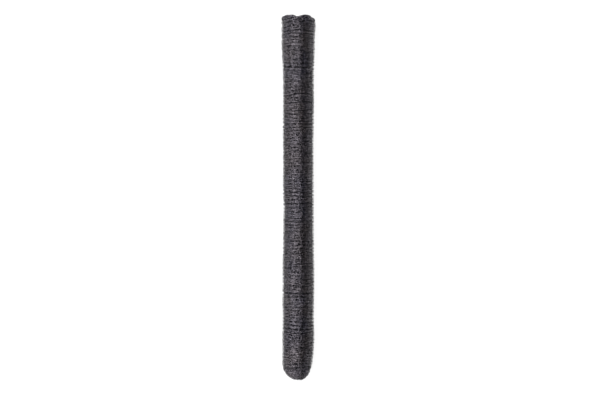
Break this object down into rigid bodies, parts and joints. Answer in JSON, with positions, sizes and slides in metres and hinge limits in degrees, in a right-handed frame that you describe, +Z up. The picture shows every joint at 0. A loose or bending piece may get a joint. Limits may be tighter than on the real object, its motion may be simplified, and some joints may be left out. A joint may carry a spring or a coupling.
{
  "type": "roll of deer netting",
  "caption": "Long slim roll of black plastic deer netting, folded in half along its length and wound up, lying on its side with a flared end and a blunt nose end.",
  "frame": {"origin": "middle of the roll's underside, on the surface it lies on", "axes": "+Y along the roll towards its flared end, +Z up, away from the surface"},
  "size_m": [0.1024, 1.1048, 0.0991],
  "materials": {
    "netting": "extruded black polypropylene mesh, many turns deep, with a dull grey gloss on the strands"
  },
  "bodies": {
    "root": {"net_roll": "netting"}
  },
  "joints": []
}
